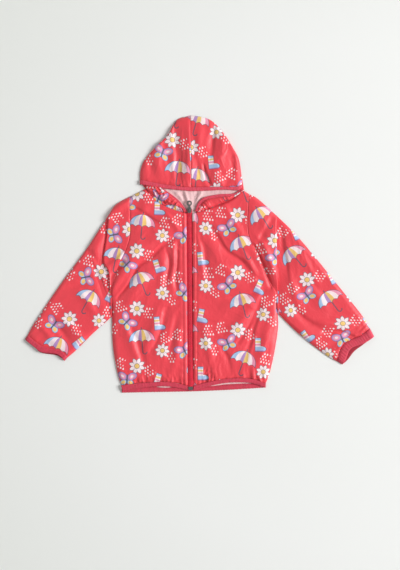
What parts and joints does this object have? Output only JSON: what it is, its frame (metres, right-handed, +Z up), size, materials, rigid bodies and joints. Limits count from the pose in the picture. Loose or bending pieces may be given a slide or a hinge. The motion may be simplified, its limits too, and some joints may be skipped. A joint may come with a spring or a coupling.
{
  "type": "kids rain jacket",
  "caption": "Child's hooded rain jacket, zipped shut and laid flat on its back, with bound cuffs and hem and a hinged zip pull tab.",
  "frame": {"origin": "middle of the laid-out jacket's outline, on the surface it lies on", "axes": "+Z up from that surface, +Y from the hem to the hood, +X from the wearer's right sleeve to the left one"},
  "size_m": [0.768, 0.61, 0.0117],
  "materials": {
    "shell": "smooth coated plain weave, red, with a printed pattern",
    "lining": "soft off-white cotton jersey",
    "binding": "matt elastic binding, crimson",
    "zip_tape": "woven tape, crimson",
    "zip_chain": "coil teeth under a woven face, crimson",
    "zip_metal": "dull grey cast metal"
  },
  "bodies": {
    "jacket": {"back_panel": "shell", "right_front": "shell", "left_front": "shell", "right_sleeve": "shell", "left_sleeve": "shell", "right_hood": "shell", "left_hood": "shell", "right_hood_side": "shell", "left_hood_side": "shell", "back_lining": "lining", "hood_lining": "lining", "right_cuff_binding": "binding", "left_cuff_binding": "binding", "right_neck_binding": "binding", "left_neck_binding": "binding", "right_hem_binding": "binding", "left_hem_binding": "binding", "back_hem_binding": "binding", "mouth_binding": "binding", "right_zip_tape": "zip_tape", "left_zip_tape": "zip_tape", "zip_chain": "zip_chain", "zip_bottom_stop": "zip_metal", "zip_slider": "zip_metal"},
    "pull_tab": {"pull_tab": "zip_metal"}
  },
  "joints": [
    {"name": "pull_tab_swing", "type": "hinge", "parent": "jacket", "child": "pull_tab", "pos_m": [-0.02245, 0.096, 0.0092], "axis": [1, 0, 0], "range_deg": [0, 170]}
  ]
}
